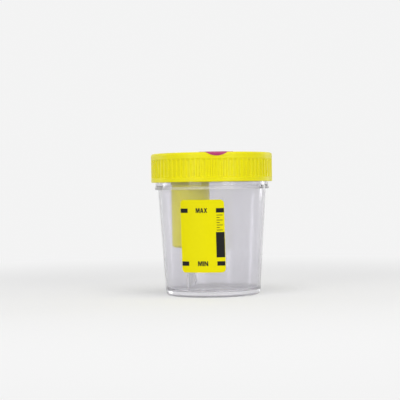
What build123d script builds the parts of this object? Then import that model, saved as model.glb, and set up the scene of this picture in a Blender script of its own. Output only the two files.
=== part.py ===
from build123d import *
import math
import os

os.makedirs("parts", exist_ok=True)

# Specimen cup with a screw lid that carries a transfer well. Millimetres, base centre at the origin, +Z up,
# the label side towards -Y.

# overall heights
total_h = 76.2
film = 0.2
lid_h = 15.4
panel = 1.6
seal_gap = 0.1
lid_top = total_h - film
panel_under = lid_top - panel
skirt_foot = lid_top - lid_h
cup_h = panel_under - seal_gap

# cup: tapered body, foot ring, collar with a bead, and the neck inside the lid
wall = 1.2
base_r = 25.4
body_top_r = 29.1
foot_rise = 1.4
foot_land = 3.4
foot_slant = 0.4
floor_z = foot_rise + 1.4
corner_r = 2.0
lip_cut = 0.3
collar_gap = 0.4
collar_h = 3.5
collar_top = skirt_foot - collar_gap
shoulder_z = collar_top - collar_h
bead_h = 1.3
neck_r = body_top_r + 0.8
neck_in_r = neck_r - wall
collar_r = neck_r + 0.55
bead_r = collar_r + 0.35
body_slope = (body_top_r - base_r) / shoulder_z

# lid: skirt with ribs between two plain bands, and a plug lip inside the cup's mouth
thread_room = 1.1
skirt_t = 1.1
rib_depth = 0.55
skirt_in_r = neck_r + thread_room
rib_root_r = skirt_in_r + skirt_t
lid_r = rib_root_r + rib_depth
rib_n = 72
rib_crest_r = lid_r - 0.05
rib_crest_w = 0.8
rib_root_w = 1.7
rib_low = skirt_foot + 2.2
rib_high = lid_top - 3.1
rib_fade = 1.1
rib_sink = 0.4
top_round = 1.2
foot_cut = 0.3
plug_fit = 0.1
plug_r = neck_in_r - plug_fit
plug_t = 1.0
plug_h = 2.2

# transfer well, beside the lid's axis
well_x = -11.4
well_y = -8.0
well_depth = 50.0
well_wall = 1.0
well_r = 10.25
well_foot_r = well_r - 0.35
well_foot = lid_top - well_depth
well_floor = well_foot + 1.4
well_round = 1.5
mouth_chamfer = 0.6

# needle hub, needle, sleeve and dip straw on the well's axis
hub_fit = 0.03
stem_r = 2.6
stem_foot = well_foot - 0.8
spigot_r = 1.8
spigot_foot = stem_foot - 6.0
flange_r = 4.6
flange_top = well_floor + 1.4
flange_round = 0.5
post_r = 2.4
post_top = flange_top + 5.0
nipple_r = 1.5
nipple_top = post_top + 3.6
channel_r = 1.1
needle_r = 0.46
needle_bore_r = 0.24
needle_foot = well_foot + 1.0
needle_top = nipple_top + 18.1
needle_bevel = 1.6
sleeve_t = 0.95
sleeve_r = nipple_r + sleeve_t
sleeve_in_r = nipple_r - 0.45
sleeve_top = needle_top + 2.7
sleeve_cap = 1.6
sleeve_round = 0.9
straw_t = 0.75
straw_fit = 0.05
straw_in_r = spigot_r + straw_fit
straw_r = straw_in_r + straw_t
straw_foot = floor_z + 1.2
straw_bevel = 2.4

# peel-off seal on the lid, its tab folded down over the rim
seal_r = lid_r - 3.15
tab_r = 9.3
tab_drop = 1.9
tab_turn = 4.9
film_gap = 0.03

# level label on the cup
label_gap = 0.1
label_t = 0.2
label_w = 23.2
label_h = 38.0
label_high = shoulder_z - 5.4
label_low = label_high - label_h
label_corner = 2.0
label_turn = -11.3


def body_r(z):
    return base_r + body_slope * z


def facing(turn):
    angle = math.radians(turn)
    across = (math.cos(angle), math.sin(angle), 0)
    out = (math.sin(angle), -math.cos(angle), 0)
    return Plane(origin=(0, 0, 0), x_dir=across, z_dir=out)


def rings_at(part, z):
    circles = part.edges().filter_by(GeomType.CIRCLE)
    return circles.filter_by_position(Axis.Z, z - 0.01, z + 0.01).sort_by(SortBy.RADIUS)


well_axis = Axis((well_x, well_y, 0), (0, 0, 1))
well_plane = Plane(origin=(well_x, well_y, 0), x_dir=(1, 0, 0), z_dir=(0, -1, 0))

with BuildPart() as cup:
    with BuildSketch(Plane.XZ):
        with BuildLine():
            Polyline(
                (0, foot_rise),
                (base_r - foot_land - foot_slant, foot_rise),
                (base_r - foot_land, 0),
                (base_r, 0),
                (body_top_r, shoulder_z),
                (bead_r, shoulder_z),
                (bead_r, shoulder_z + bead_h),
                (collar_r, shoulder_z + bead_h),
                (collar_r, collar_top),
                (neck_r, collar_top),
                (neck_r, cup_h),
                (neck_in_r, cup_h),
                (neck_in_r, collar_top - wall),
                (body_top_r - wall, shoulder_z),
                (body_r(floor_z) - wall, floor_z),
                (0, floor_z),
                close=True,
            )
        make_face()
    revolve(axis=Axis.Z)
    fillet(rings_at(cup, 0)[-1], corner_r)
    fillet(rings_at(cup, floor_z)[-1], corner_r)
    chamfer(rings_at(cup, cup_h), lip_cut)
cup.part.label = "cup"
export_step(cup.part, "parts/cup.step")

with BuildPart() as lid:
    with BuildSketch(Plane.XZ):
        with BuildLine():
            Polyline(
                (0, lid_top),
                (lid_r, lid_top),
                (lid_r, rib_high),
                (rib_root_r, rib_high - rib_fade),
                (rib_root_r, rib_low + rib_sink),
                (lid_r, rib_low),
                (lid_r, skirt_foot),
                (skirt_in_r, skirt_foot),
                (skirt_in_r, panel_under),
                (plug_r, panel_under),
                (plug_r, panel_under - plug_h),
                (plug_r - plug_t, panel_under - plug_h),
                (plug_r - plug_t, panel_under),
                (0, panel_under),
                close=True,
            )
        make_face()
    revolve(axis=Axis.Z)
    fillet(rings_at(lid, lid_top)[-1], top_round)
    chamfer(rings_at(lid, skirt_foot)[-1], foot_cut)
    with BuildSketch(Plane.XY.offset(rib_low - rib_sink / 2)):
        with PolarLocations(0, rib_n):
            Polygon(
                (rib_root_r - rib_sink, -rib_root_w / 2),
                (rib_crest_r, -rib_crest_w / 2),
                (rib_crest_r, rib_crest_w / 2),
                (rib_root_r - rib_sink, rib_root_w / 2),
                align=None,
            )
    extrude(amount=rib_high - rib_low + rib_sink)
    with BuildSketch(well_plane):
        with BuildLine():
            Polyline(
                (0, well_foot),
                (well_foot_r, well_foot),
                (well_r, panel_under + panel / 2),
                (0, panel_under + panel / 2),
                close=True,
            )
        make_face()
    revolve(axis=well_axis)
    fillet(rings_at(lid, well_foot)[-1], well_round)
    with BuildSketch(well_plane):
        with BuildLine():
            Polyline(
                (0, well_floor),
                (well_foot_r - well_wall, well_floor),
                (well_r - well_wall, lid_top - mouth_chamfer),
                (well_r - well_wall + mouth_chamfer, lid_top),
                (0, lid_top),
                close=True,
            )
        make_face()
    revolve(axis=well_axis, mode=Mode.SUBTRACT)
    fillet(rings_at(lid, well_floor)[-1], well_round)
    with BuildSketch(Plane(origin=(well_x, well_y, well_floor))):
        Circle(stem_r + hub_fit)
    extrude(amount=well_foot - well_floor, mode=Mode.SUBTRACT)
lid.part.label = "lid"
export_step(lid.part, "parts/lid.step")

with BuildPart() as needle_hub:
    with BuildSketch(well_plane):
        with BuildLine():
            Polyline(
                (channel_r, spigot_foot),
                (spigot_r - 0.3, spigot_foot),
                (spigot_r, spigot_foot + 0.8),
                (spigot_r, stem_foot),
                (stem_r, stem_foot),
                (stem_r, well_floor),
                (flange_r, well_floor),
                (flange_r, flange_top),
                (post_r, flange_top),
                (post_r, post_top),
                (nipple_r, post_top),
                (nipple_r, nipple_top),
                (needle_r + hub_fit, nipple_top),
                (needle_r + hub_fit, needle_foot),
                (channel_r, needle_foot),
                close=True,
            )
        make_face()
    revolve(axis=well_axis)
    fillet(rings_at(needle_hub, flange_top)[-1], flange_round)
needle_hub.part.label = "needle_hub"
export_step(needle_hub.part, "parts/needle_hub.step")

with BuildPart() as needle:
    with BuildSketch(Plane(origin=(well_x, well_y, needle_foot))):
        Circle(needle_r)
        Circle(needle_bore_r, mode=Mode.SUBTRACT)
    extrude(amount=needle_top - needle_foot)
    with BuildSketch(well_plane):
        with BuildLine():
            Polyline(
                (-2 * needle_r, needle_top - needle_bevel),
                (needle_r, needle_top),
                (needle_r, needle_top + 1),
                (-2 * needle_r, needle_top + 1),
                close=True,
            )
        make_face()
    extrude(amount=2 * needle_r, both=True, mode=Mode.SUBTRACT)
needle.part.label = "needle"
export_step(needle.part, "parts/needle.step")

with BuildPart() as needle_sleeve:
    with BuildSketch(well_plane):
        with BuildLine():
            Polyline(
                (nipple_r + hub_fit, post_top + hub_fit),
                (sleeve_r, post_top + hub_fit),
                (sleeve_r, sleeve_top),
                (0, sleeve_top),
                (0, sleeve_top - sleeve_cap),
                (sleeve_in_r, sleeve_top - sleeve_cap),
                (sleeve_in_r, nipple_top + hub_fit),
                (nipple_r + hub_fit, nipple_top + hub_fit),
                close=True,
            )
        make_face()
    revolve(axis=well_axis)
    fillet(rings_at(needle_sleeve, sleeve_top)[-1], sleeve_round)
needle_sleeve.part.label = "needle_sleeve"
export_step(needle_sleeve.part, "parts/needle_sleeve.step")

with BuildPart() as dip_straw:
    with BuildSketch(Plane(origin=(well_x, well_y, straw_foot))):
        Circle(straw_r)
        Circle(straw_in_r, mode=Mode.SUBTRACT)
    extrude(amount=stem_foot - straw_foot)
    with BuildSketch(well_plane):
        with BuildLine():
            Polyline(
                (-2 * straw_r, straw_foot),
                (-straw_r, straw_foot),
                (straw_r, straw_foot + straw_bevel),
                (straw_r, straw_foot - 1),
                (-2 * straw_r, straw_foot - 1),
                close=True,
            )
        make_face()
    extrude(amount=2 * straw_r, both=True, mode=Mode.SUBTRACT)
dip_straw.part.label = "dip_straw"
export_step(dip_straw.part, "parts/dip_straw.step")

# the film follows the lid's rounded rim: its section is turned about the lid, then trimmed to the tab's outline
bend_r = top_round + film_gap
bend_x = lid_r - top_round
bend_z = lid_top - top_round
tab_foot = lid_top - tab_drop

with BuildPart() as seal_label:
    with BuildSketch(Plane.XZ):
        with BuildLine():
            Polyline((seal_r - tab_r, lid_top + film_gap), (bend_x, lid_top + film_gap))
            RadiusArc((bend_x, lid_top + film_gap), (bend_x + bend_r, bend_z), bend_r)
            Polyline(
                (bend_x + bend_r, bend_z),
                (bend_x + bend_r, tab_foot - 1),
                (bend_x + bend_r + film - film_gap, tab_foot - 1),
                (bend_x + bend_r + film - film_gap, bend_z),
            )
            RadiusArc((bend_x + bend_r + film - film_gap, bend_z), (bend_x, total_h), -(bend_r + film - film_gap))
            Polyline((bend_x, total_h), (seal_r - tab_r, total_h), (seal_r - tab_r, lid_top + film_gap))
        make_face()
    revolve(axis=Axis.Z)
    with BuildSketch(facing(tab_turn)):
        with Locations((0, tab_foot + tab_r)):
            Circle(tab_r)
    extrude(amount=lid_r + 2, mode=Mode.INTERSECT)
    with BuildSketch(Plane.XY.offset(lid_top + film_gap)):
        Circle(seal_r)
    extrude(amount=film - film_gap)
seal_label.part.label = "seal_label"
export_step(seal_label.part, "parts/seal_label.step")

with BuildPart() as level_label:
    with BuildSketch(Plane.XZ):
        with BuildLine():
            Polyline(
                (body_r(0) + label_gap, 0),
                (body_r(0) + label_gap + label_t, 0),
                (body_top_r + label_gap + label_t, shoulder_z),
                (body_top_r + label_gap, shoulder_z),
                close=True,
            )
        make_face()
    revolve(axis=Axis.Z)
    with BuildSketch(facing(label_turn)):
        with Locations((0, (label_low + label_high) / 2)):
            RectangleRounded(label_w, label_high - label_low, label_corner)
    extrude(amount=body_top_r + 2, mode=Mode.INTERSECT)
level_label.part.label = "level_label"
export_step(level_label.part, "parts/level_label.step")
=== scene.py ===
"""Looks of a specimen cup with a ribbed yellow lid, a transfer well, a seal and a level label."""
import math

import bmesh
import bpy
from mathutils import Matrix, Vector


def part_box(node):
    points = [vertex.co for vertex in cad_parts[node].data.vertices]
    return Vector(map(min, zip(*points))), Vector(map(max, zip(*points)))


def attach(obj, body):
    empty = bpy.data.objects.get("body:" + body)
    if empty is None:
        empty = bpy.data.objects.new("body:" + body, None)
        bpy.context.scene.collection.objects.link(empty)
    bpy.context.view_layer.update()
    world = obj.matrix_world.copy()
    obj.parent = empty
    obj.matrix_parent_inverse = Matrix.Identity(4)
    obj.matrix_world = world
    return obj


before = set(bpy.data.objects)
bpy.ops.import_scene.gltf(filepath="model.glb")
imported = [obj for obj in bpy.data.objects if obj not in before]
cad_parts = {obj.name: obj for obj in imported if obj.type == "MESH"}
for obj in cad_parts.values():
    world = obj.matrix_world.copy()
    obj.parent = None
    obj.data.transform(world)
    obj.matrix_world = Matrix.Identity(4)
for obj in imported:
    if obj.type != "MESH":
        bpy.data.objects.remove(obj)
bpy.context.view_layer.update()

MM = 0.001

# The part's own sizes, which the added pieces and the prints sit on.
FOOT_R = 25.4 * MM
SHOULDER_R = 29.1 * MM
SHOULDER_Z = 56.7 * MM
COLLAR_TOP = 60.2 * MM
NECK_R = 29.9 * MM
SKIRT_IN_R = 31.0 * MM
RECESS_Z = 1.4 * MM
LABEL_STAND = 0.3 * MM
LABEL_TURN = math.radians(-11.3)
TAB_R = 9.3 * MM
TAB_TURN = math.radians(4.9)

# The part of its range that a noise mostly keeps to, and the turn at which a piece's edge is sharp.
MOTTLE_SPAN = (0.3, 0.7)
SHARP_EDGE = math.radians(35)

# The photograph's frame, where it shows the cup's axis and the eye's level, and the camera's own sizes.
FRAME_PX = 400
PX_PER_MM = 1.85
CAMERA_AWAY = 700 * MM
AXIS_PX = 212.0
EYE_PX = 189.0
EYE_HEIGHT = 56.9 * MM
PHOTO_TILT = math.radians(0.9)
SENSOR = 36.0
CLIP_START = 10 * MM


def linear(hex_colour):
    """An sRGB hex colour as the linear RGBA that the shaders take."""
    channels = [int(hex_colour[i : i + 2], 16) / 255 for i in (1, 3, 5)]
    return (*[c / 12.92 if c <= 0.04045 else ((c + 0.055) / 1.055) ** 2.4 for c in channels], 1.0)


def add_node(tree, kind, settings=None, sockets=None):
    """Adds a node with its properties, each socket given a value or the output that feeds it."""
    node = tree.nodes.new(kind)
    for name, value in (settings or {}).items():
        setattr(node, name, value)
    for name, value in (sockets or {}).items():
        if isinstance(value, bpy.types.NodeSocket):
            tree.links.new(value, node.inputs[name])
        else:
            node.inputs[name].default_value = value
    return node


def finish(
    name, tones, patch, roughness, bumps, stretch=1.0, field=None, passes=None, clear=None, **look
):
    """A material named for its stuff and how its surface was made.

    tones are the two sRGB ends of its mottle and patch the mottle's size; roughness runs from its
    first value to its second over the same patches; bumps are the relief's size and depth; stretch
    is how much taller than wide all of these are; field, if any, is a printed disc's centre, radius
    and tones; passes, if any, is the tint of the lamps' light that goes through a clear wall; clear,
    if any, is the share of light that a wall and a thick part let through, and each thick part's
    middle and half its height; look holds what is the same all over.
    """
    material = bpy.data.materials.new(name)
    material.use_nodes = True
    tree = material.node_tree
    tree.nodes.clear()
    place = add_node(tree, "ShaderNodeTexCoord").outputs["Object"]
    drawn = add_node(
        tree, "ShaderNodeMapping", {}, {"Vector": place, "Scale": (1, 1, 1 / stretch)}
    ).outputs[0]
    mottle = add_node(
        tree, "ShaderNodeTexNoise", {}, {"Vector": drawn, "Scale": 1 / patch, "Detail": 3.0}
    ).outputs["Fac"]
    colour = add_node(
        tree,
        "ShaderNodeMix",
        {"data_type": "RGBA"},
        {0: mottle, 6: linear(tones[0]), 7: linear(tones[1])},
    ).outputs[2]
    if field:
        centre, radius, print_tones = field
        flat = add_node(
            tree, "ShaderNodeVectorMath", {"operation": "MULTIPLY"}, {0: place, 1: (1, 1, 0)}
        ).outputs[0]
        away = add_node(
            tree, "ShaderNodeVectorMath", {"operation": "DISTANCE"}, {0: flat, 1: centre}
        ).outputs["Value"]
        inside = add_node(
            tree, "ShaderNodeMath", {"operation": "LESS_THAN"}, {0: away, 1: radius}
        ).outputs[0]
        printed = add_node(
            tree,
            "ShaderNodeMix",
            {"data_type": "RGBA"},
            {0: mottle, 6: linear(print_tones[0]), 7: linear(print_tones[1])},
        ).outputs[2]
        colour = add_node(
            tree, "ShaderNodeMix", {"data_type": "RGBA"}, {0: inside, 6: colour, 7: printed}
        ).outputs[2]
    gloss = add_node(
        tree,
        "ShaderNodeMapRange",
        {},
        {
            "Value": mottle,
            "From Min": MOTTLE_SPAN[0],
            "From Max": MOTTLE_SPAN[1],
            "To Min": roughness[0],
            "To Max": roughness[1],
        },
    ).outputs[0]
    relief = add_node(
        tree, "ShaderNodeTexNoise", {}, {"Vector": drawn, "Scale": 1 / bumps[0], "Detail": 2.0}
    ).outputs["Fac"]
    normal = add_node(
        tree, "ShaderNodeBump", {}, {"Height": relief, "Distance": bumps[1]}
    ).outputs[0]
    surface = {"Base Color": colour, "Roughness": gloss, "Normal": normal, **look}
    if clear:
        thin, thick, parts = clear
        up = add_node(tree, "ShaderNodeSeparateXYZ", {}, {0: place}).outputs["Z"]
        share = 0.0
        for middle, half in parts:
            near = add_node(
                tree, "ShaderNodeMath", {"operation": "COMPARE"}, {0: up, 1: middle, 2: half}
            ).outputs[0]
            share = add_node(
                tree, "ShaderNodeMath", {"operation": "MAXIMUM"}, {0: share, 1: near}
            ).outputs[0]
        surface["Transmission Weight"] = add_node(
            tree, "ShaderNodeMapRange", {}, {"Value": share, "To Min": thin, "To Max": thick}
        ).outputs[0]
    end = add_node(tree, "ShaderNodeBsdfPrincipled", {}, surface).outputs[0]
    if passes:
        lit = add_node(tree, "ShaderNodeLightPath").outputs["Is Shadow Ray"]
        through = add_node(
            tree, "ShaderNodeBsdfTransparent", {}, {"Color": linear(passes)}
        ).outputs[0]
        end = add_node(tree, "ShaderNodeMixShader", {}, {0: lit, 1: end, 2: through}).outputs[0]
    add_node(tree, "ShaderNodeOutputMaterial", {}, {"Surface": end})
    return material


# Natural polypropylene, injection moulded: a milky haze in a clear wall, through which the well
# shows, whiter where it is thick, in the foot and the shoulder's edge, with upright waves about 8 mm
# apart, left by the melt's flow, which bend the reflections a little.
natural_polypropylene = finish(
    "natural_polypropylene_moulded",
    ("#E6E5E9", "#EDECF0"),
    3 * MM,
    (0.06, 0.11),
    (8 * MM, 0.03 * MM),
    stretch=5.0,
    passes="#FDFDFE",
    clear=(0.97, 0.78, ((1.4 * MM, 1.5 * MM), (57.4 * MM, 0.75 * MM))),
    **{"IOR": 1.49},
)

# Pigmented polyethylene, injection moulded: waxy and softly glossy, the pigment faintly mottled over
# about 6 mm, with the mould's satin of 0.4 mm; light enters its skin a little, which softens it.
yellow_polyethylene = finish(
    "yellow_polyethylene_moulded",
    ("#E1D700", "#E9E203"),
    6 * MM,
    (0.32, 0.4),
    (0.4 * MM, 0.004 * MM),
    **{
        "IOR": 1.51,
        "Specular IOR Level": 0.22,
        "Subsurface Weight": 0.2,
        "Subsurface Radius": (1.0, 0.8, 0.1),
        "Subsurface Scale": 0.8 * MM,
    },
)

# Unpigmented polyethylene of the needle's hub, moulded thick: cloudy, almost opaque, waxy in gloss.
cloudy_polyethylene = finish(
    "natural_polyethylene_moulded",
    ("#DEDEDA", "#ECECEA"),
    2 * MM,
    (0.28, 0.36),
    (0.4 * MM, 0.004 * MM),
    **{"IOR": 1.51, "Transmission Weight": 0.15},
)

# The same plastic drawn into the straw: thin enough to see through, with streaks along it.
tube_polyethylene = finish(
    "natural_polyethylene_drawn",
    ("#F1F1F0", "#F8F8F7"),
    1.2 * MM,
    (0.18, 0.28),
    (0.8 * MM, 0.01 * MM),
    stretch=20.0,
    passes="#FAFAFA",
    **{"IOR": 1.51, "Transmission Weight": 0.93},
)

# Stainless needle tube, drawn and polished: bright, with fine scratches along it. Real ones are
# about 0.01 mm apart and are made ten times as coarse here, so that they show.
steel = finish(
    "stainless_steel_drawn",
    ("#C2C3C5", "#CECFD1"),
    0.1 * MM,
    (0.16, 0.3),
    (0.1 * MM, 0.001 * MM),
    stretch=40.0,
    **{"Metallic": 1.0},
)

# Natural rubber, dipped: tan and matt, faintly dusty, with a fine skin of ripples.
rubber = finish(
    "natural_rubber_dipped",
    ("#B9A67E", "#CDBD98"),
    0.8 * MM,
    (0.66, 0.78),
    (0.3 * MM, 0.01 * MM),
    **{"IOR": 1.52},
)

# Label film with a solid yellow tint and varnish: flat colour, satin, faintly mottled by the press.
yellow_film = finish(
    "yellow_film_printed",
    ("#E2D800", "#E8DE01"),
    1.5 * MM,
    (0.38, 0.46),
    (5 * MM, 0.01 * MM),
    **{"IOR": 1.5, "Specular IOR Level": 0.1},
)

# Coated white film of the peel-off seal: softly glossy, lying in faint ripples, with a solid magenta
# field printed over its pull tab, as a disc that is larger than the tab's round end by a margin.
FIELD_MARGIN = 0.7 * MM
tab_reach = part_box("seal_label")[0].y + TAB_R
white_film = finish(
    "white_film_magenta_tab",
    ("#EBEAE8", "#EEEDEC"),
    1.5 * MM,
    (0.26, 0.32),
    (9 * MM, 0.03 * MM),
    field=(
        (-tab_reach * math.tan(TAB_TURN), tab_reach, 0),
        TAB_R + FIELD_MARGIN,
        ("#A0245A", "#AE306A"),
    ),
    **{"IOR": 1.5, "Specular IOR Level": 0.4},
)

# Screen-printed ink: dense black, a little glossy, finely grained.
black_ink = finish(
    "black_ink_screen_printed",
    ("#0B0B0B", "#1A1916"),
    0.3 * MM,
    (0.36, 0.46),
    (0.2 * MM, 0.002 * MM),
    **{"IOR": 1.5, "Specular IOR Level": 0.2},
)

for node, material in (
    ("cup", natural_polypropylene),
    ("lid", yellow_polyethylene),
    ("needle_hub", cloudy_polyethylene),
    ("needle", steel),
    ("needle_sleeve", rubber),
    ("dip_straw", tube_polyethylene),
    ("seal_label", white_film),
    ("level_label", yellow_film),
):
    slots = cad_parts[node].data.materials
    slots.clear()
    slots.append(material)


def make_piece(name, verts, faces, material, body):
    """A closed mesh, hung on its body, with its edges sharp where they turn by SHARP_EDGE."""
    mesh = bpy.data.meshes.new(name)
    mesh.from_pydata(verts, [], faces)
    bm = bmesh.new()
    bm.from_mesh(mesh)
    bmesh.ops.recalc_face_normals(bm, faces=bm.faces)
    bm.to_mesh(mesh)
    bm.free()
    mesh.materials.append(material)
    mesh.shade_smooth()
    mesh.set_sharp_from_angle(angle=SHARP_EDGE)
    piece = bpy.data.objects.new(name, mesh)
    bpy.context.scene.collection.objects.link(piece)
    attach(piece, body)


# The screw thread: one right-hand ridge on the neck and one in the skirt, half a turn apart so that
# they pass side by side, each fading towards its wall over RUN_OUT steps at both ends, down to the
# share RIDGE_END of its size.
THREAD_PITCH = 5.0 * MM
THREAD_TURNS = 1.6
THREAD_LOW = COLLAR_TOP + 2.6 * MM
THREAD_DEPTH = 0.75 * MM
THREAD_SINK = 0.1 * MM
THREAD_ROOT = 1.9 * MM
THREAD_CREST = 0.9 * MM
STEPS_PER_TURN = 120
RUN_OUT = 14
RIDGE_END = 0.03


def thread_ridge(name, wall_r, outward, start, material, body):
    """The thread's ridge on a round wall; outward is 1 outside the neck and -1 inside the skirt."""
    steps = int(THREAD_TURNS * STEPS_PER_TURN)
    verts, faces = [], []
    for i in range(steps + 1):
        angle = start + math.tau * i / STEPS_PER_TURN
        rise = THREAD_LOW + THREAD_PITCH * i / STEPS_PER_TURN
        fade = max(RIDGE_END, min(1.0, min(i, steps - i) / RUN_OUT))
        crest = THREAD_CREST * fade / 2
        out = THREAD_DEPTH * fade
        for reach, up in (
            (-THREAD_SINK, -THREAD_ROOT / 2),
            (out, -crest),
            (out, crest),
            (-THREAD_SINK, THREAD_ROOT / 2),
        ):
            r = wall_r + outward * reach
            verts.append((r * math.cos(angle), r * math.sin(angle), rise + up))
        if i:
            a, b = 4 * (i - 1), 4 * i
            faces += [(a + k, a + (k + 1) % 4, b + (k + 1) % 4, b + k) for k in range(4)]
    last = 4 * steps
    faces += [(3, 2, 1, 0), (last, last + 1, last + 2, last + 3)]
    make_piece(name, verts, faces, material, body)


thread_ridge("neck_thread", NECK_R, 1, 0.0, natural_polypropylene, "cup")
thread_ridge("skirt_thread", SKIRT_IN_R, -1, math.pi, yellow_polyethylene, "lid")


# The print on the label: flat shapes in its own plane, x across it and y its height on the cup.
# BAR, BLOCK and TICK are a width and a height. LEVELS has each word, its middle's height, its width
# and its shift across the label. Every second tick is shorter, by SHORT_TICK.
BAR = (4.2 * MM, 2.3 * MM)
CAP_HEIGHT = 2.5 * MM
PRINT_EDGE = 11.8 * MM
LEVELS = (("MAX", 45.7 * MM, 6.1 * MM, 0.0), ("MIN", 18.0 * MM, 5.4 * MM, 0.1 * MM))
BLOCK = (4.5 * MM, 13.2 * MM)
BLOCK_LOW = 21.2 * MM
TICK = (3.2 * MM, 0.32 * MM)
SHORT_TICK = 0.5
TICK_INSET = 0.5 * MM
TICKS_ABOVE_BLOCK = 0.9 * MM
TICK_GAP = 1.3 * MM
TICKS = 7
INK_STAND = 0.012 * MM
INK_FILM = 0.04 * MM
BEND_STEP = 0.6 * MM
WELD = 0.001 * MM

# Plain heavy capitals, a cap height of 1: each letter's width and the outlines that make it up.
LETTER_GAP = 0.1
LETTERS = {
    "M": (
        1.2,
        (
            ((0, 0), (0.26, 0), (0.26, 0.62), (0.48, 0), (0.6, 0), (0.6, 0.45), (0.4, 1), (0, 1)),
            (
                *((0.6, 0), (0.72, 0), (0.94, 0.62), (0.94, 0)),
                *((1.2, 0), (1.2, 1), (0.8, 1), (0.6, 0.45)),
            ),
        ),
    ),
    "A": (
        1.0,
        (
            ((0, 0), (0.3, 0), (0.35, 0.18), (0.4, 0.37), (0.5, 0.72), (0.5, 1), (0.33, 1)),
            ((1, 0), (0.67, 1), (0.5, 1), (0.5, 0.72), (0.6, 0.37), (0.65, 0.18), (0.7, 0)),
            ((0.35, 0.18), (0.65, 0.18), (0.6, 0.37), (0.4, 0.37)),
        ),
    ),
    "X": (
        1.0,
        (
            (
                *((0, 0), (0.32, 0), (0.5, 0.32), (0.68, 0), (1, 0), (0.67, 0.51)),
                *((0.98, 1), (0.67, 1), (0.5, 0.7), (0.33, 1), (0.02, 1), (0.33, 0.51)),
            ),
        ),
    ),
    "I": (0.28, (((0, 0), (0.28, 0), (0.28, 1), (0, 1)),)),
    "N": (
        0.96,
        (
            (
                *((0, 0), (0.26, 0), (0.26, 0.6), (0.67, 0), (0.96, 0)),
                *((0.96, 1), (0.7, 1), (0.7, 0.4), (0.28, 1), (0, 1)),
            ),
        ),
    ),
}


def add_bar(bm, left, low, size):
    """A flat bar, in strips narrow enough to bend round the cup."""
    strips = max(1, math.ceil(size[0] / BEND_STEP))
    grid = [
        [bm.verts.new((left + size[0] * i / strips, low + up, 0)) for i in range(strips + 1)]
        for up in (0, size[1])
    ]
    for i in range(strips):
        bm.faces.new((grid[0][i], grid[0][i + 1], grid[1][i + 1], grid[1][i]))


def add_word(bm, word, middle, width, shift):
    """A word in the heavy capitals, centred at shift across the label and fitted to its width."""
    gaps = LETTER_GAP * (len(word) - 1)
    scale = width / (sum(LETTERS[letter][0] for letter in word) + gaps)
    left = shift - width / 2
    for letter in word:
        letter_width, shapes = LETTERS[letter]
        for shape in shapes:
            corners = [(left + x * scale, middle + (y - 0.5) * CAP_HEIGHT, 0) for x, y in shape]
            bm.faces.new([bm.verts.new(corner) for corner in corners])
        left += (letter_width + LETTER_GAP) * scale


def on_label(across, height, lift):
    """The point at a distance across from the label's middle and at a height, lifted off its face."""
    r = FOOT_R + (SHOULDER_R - FOOT_R) * height / SHOULDER_Z + LABEL_STAND
    turn = LABEL_TURN + across / r
    return ((r + lift) * math.sin(turn), -(r + lift) * math.cos(turn), height)


def print_levels():
    """MAX and MIN with a bar at each side, and a plain scale of ticks over a solid block."""
    bm = bmesh.new()
    for word, height, width, shift in LEVELS:
        for left in (-PRINT_EDGE, PRINT_EDGE - BAR[0]):
            add_bar(bm, left, height - BAR[1] / 2, BAR)
        add_word(bm, word, height, width, shift)
    block_left = PRINT_EDGE - BLOCK[0]
    add_bar(bm, block_left, BLOCK_LOW, BLOCK)
    ticks_low = BLOCK_LOW + BLOCK[1] + TICKS_ABOVE_BLOCK
    for k in range(TICKS):
        length = TICK[0] * (SHORT_TICK if k % 2 else 1.0)
        add_bar(bm, block_left + TICK_INSET, ticks_low + TICK_GAP * k, (length, TICK[1]))
    bmesh.ops.remove_doubles(bm, verts=bm.verts, dist=WELD)
    bmesh.ops.triangulate(bm, faces=[f for f in bm.faces if len(f.verts) > 4])
    shell = bmesh.ops.extrude_face_region(bm, geom=list(bm.faces))
    raised = {v for v in shell["geom"] if isinstance(v, bmesh.types.BMVert)}
    verts = [
        on_label(v.co.x, v.co.y, INK_STAND + (INK_FILM if v in raised else 0)) for v in bm.verts
    ]
    bm.verts.index_update()
    faces = [[v.index for v in f.verts] for f in bm.faces]
    bm.free()
    make_piece("level_print", verts, faces, black_ink, "cup")


print_levels()


# The gate mark's outline, from its edge to its middle: radius and height from the recess, in mm.
GATE_OUTLINE = ((1.5, 0.02), (1.45, -0.25), (0.9, -0.4), (0.75, -0.75), (0.35, -0.62))
GATE_STEPS = 24


def gate_mark():
    """The broken-off gate in the middle of the foot's recess, where the melt came in."""
    turns = [math.tau * k / GATE_STEPS for k in range(GATE_STEPS)]
    verts = [
        (x * MM * math.cos(turn), x * MM * math.sin(turn), RECESS_Z + z * MM)
        for x, z in GATE_OUTLINE
        for turn in turns
    ]
    last = GATE_STEPS * (len(GATE_OUTLINE) - 1)
    faces = []
    for a in range(0, last, GATE_STEPS):
        b = a + GATE_STEPS
        for k in range(GATE_STEPS):
            following = (k + 1) % GATE_STEPS
            faces.append((a + k, a + following, b + following, b + k))
    faces += [tuple(range(GATE_STEPS)), tuple(range(last, last + GATE_STEPS))]
    make_piece("gate_mark", verts, faces, natural_polypropylene, "cup")


gate_mark()


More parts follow.
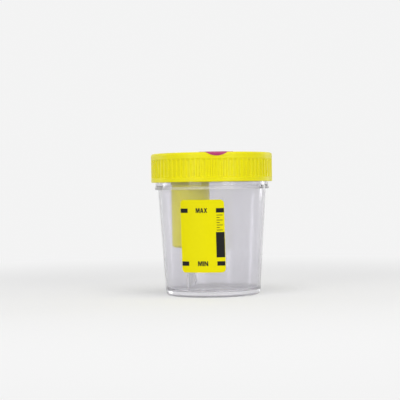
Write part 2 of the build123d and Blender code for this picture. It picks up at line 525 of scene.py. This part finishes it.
# The studio: paper that runs out into an even backdrop. The camera sees the backdrop, and gloss and
# clear plastic show it, at BACKDROP, where 1 is white, and it lights the cup at WORLD_LIGHT. Near the
# cup the paper is lit by the lamps and keeps the cup's shadow, and past SHADOW_REACH it is the
# backdrop. The lamps are aimed at LAMPS_AIM on the cup's axis.
FLOOR_HALF = 4.0
FLOOR_DROP = 0.02 * MM
LAMPS_AIM = EYE_HEIGHT * 0.7
SHADOW_REACH = (0.1, 0.4)
BACKDROP = 0.9
WORLD_LIGHT = 0.5
PAPER_TONE = "#E9E9E9"
PAPER_LIFT = 0.08
SOFT_BOXES = (
    # name, degrees round from the camera, degrees up, metres away, width and height, watts
    ("soft_box_left", -34, 14, 1.1, (0.5, 0.5), 2.8),
    ("soft_box_right", 34, 14, 1.1, (0.5, 0.5), 2.8),
    ("rim_box_left", -112, 8, 0.9, (0.16, 0.5), 0.7),
    ("rim_box_right", 128, 8, 0.9, (0.16, 0.5), 0.7),
    ("soft_top", 10, 68, 1.0, (0.8, 0.8), 4.0),
)


def light_studio():
    """Pale floor, even light from all round, and soft boxes in front, at the sides and overhead."""
    scene = bpy.context.scene
    scene.view_settings.view_transform = "Standard"
    scene.world = bpy.data.worlds.new("studio")
    scene.world.use_nodes = True
    paper = bpy.data.materials.new("white_paper_matt")
    paper.use_nodes = True
    seen = {}
    for owner in (scene.world, paper):
        tree = owner.node_tree
        tree.nodes.clear()
        rays = add_node(tree, "ShaderNodeLightPath").outputs
        share = rays["Is Camera Ray"]
        for ray in ("Is Glossy Ray", "Is Transmission Ray"):
            share = add_node(
                tree, "ShaderNodeMath", {"operation": "MAXIMUM"}, {0: share, 1: rays[ray]}
            ).outputs[0]
        seen[owner.name] = share

    tree = scene.world.node_tree
    strength = add_node(
        tree,
        "ShaderNodeMapRange",
        {},
        {"Value": seen["studio"], "To Min": WORLD_LIGHT, "To Max": BACKDROP},
    ).outputs[0]
    white = add_node(
        tree, "ShaderNodeBackground", {}, {"Color": linear("#FFFFFF"), "Strength": strength}
    ).outputs[0]
    add_node(tree, "ShaderNodeOutputWorld", {}, {"Surface": white})

    tree = paper.node_tree
    place = add_node(tree, "ShaderNodeTexCoord").outputs["Object"]
    away = add_node(
        tree, "ShaderNodeVectorMath", {"operation": "LENGTH"}, {0: place}
    ).outputs["Value"]
    far = add_node(
        tree,
        "ShaderNodeMapRange",
        {"interpolation_type": "SMOOTHSTEP"},
        {"Value": away, "From Min": SHADOW_REACH[0], "From Max": SHADOW_REACH[1]},
    ).outputs[0]
    lift = add_node(
        tree,
        "ShaderNodeMath",
        {"operation": "MULTIPLY"},
        {0: seen["white_paper_matt"], 1: PAPER_LIFT},
    ).outputs[0]
    near_look = {
        "Base Color": linear(PAPER_TONE),
        "Roughness": 0.9,
        "Specular IOR Level": 0.0,
        "Emission Color": linear("#FFFFFF"),
        "Emission Strength": lift,
    }
    near = add_node(tree, "ShaderNodeBsdfPrincipled", {}, near_look).outputs[0]
    strength = add_node(
        tree,
        "ShaderNodeMapRange",
        {},
        {"Value": seen["white_paper_matt"], "To Min": WORLD_LIGHT, "To Max": BACKDROP},
    ).outputs[0]
    even = add_node(
        tree, "ShaderNodeEmission", {}, {"Color": linear("#FFFFFF"), "Strength": strength}
    ).outputs[0]
    blend = add_node(tree, "ShaderNodeMixShader", {}, {0: far, 1: near, 2: even}).outputs[0]
    add_node(tree, "ShaderNodeOutputMaterial", {}, {"Surface": blend})

    mesh = bpy.data.meshes.new("floor")
    corners = [(x * FLOOR_HALF, y * FLOOR_HALF, 0) for x, y in ((-1, -1), (1, -1), (1, 1), (-1, 1))]
    mesh.from_pydata(corners, [], [(0, 1, 2, 3)])
    mesh.materials.append(paper)
    floor = bpy.data.objects.new("floor", mesh)
    floor.location.z = -FLOOR_DROP
    scene.collection.objects.link(floor)

    middle = Vector((0, 0, LAMPS_AIM))
    for name, side, up, away, size, watts in SOFT_BOXES:
        lamp = bpy.data.lights.new(name, "AREA")
        lamp.shape = "RECTANGLE"
        lamp.size, lamp.size_y = size
        lamp.energy = watts
        side, up = math.radians(side), math.radians(up)
        ray = Vector((math.sin(side) * math.cos(up), -math.cos(side) * math.cos(up), math.sin(up)))
        holder = bpy.data.objects.new(name, lamp)
        holder.location = middle + ray * away
        holder.rotation_euler = ray.to_track_quat("Z", "Y").to_euler()
        scene.collection.objects.link(holder)


def place_camera():
    """The photograph's view: level with the cup's shoulder, the cup a little right of the middle."""
    focal_px = PX_PER_MM * CAMERA_AWAY / MM
    lens = bpy.data.cameras.new("photo_view")
    lens.sensor_width = SENSOR
    lens.lens = SENSOR * focal_px / FRAME_PX
    lens.clip_start = CLIP_START
    eye = bpy.data.objects.new("photo_view", lens)
    pan = math.atan((AXIS_PX - FRAME_PX / 2) / focal_px)
    drop = math.atan((FRAME_PX / 2 - EYE_PX) / focal_px)
    aim = Matrix.Rotation(pan, 4, "Z") @ Matrix.Rotation(math.pi / 2 - drop, 4, "X")
    tilt = Matrix.Rotation(-PHOTO_TILT, 4, "Z")
    eye.matrix_world = Matrix.Translation((0, -CAMERA_AWAY, EYE_HEIGHT)) @ aim @ tilt
    bpy.context.scene.collection.objects.link(eye)
    bpy.context.scene.camera = eye


light_studio()
place_camera()
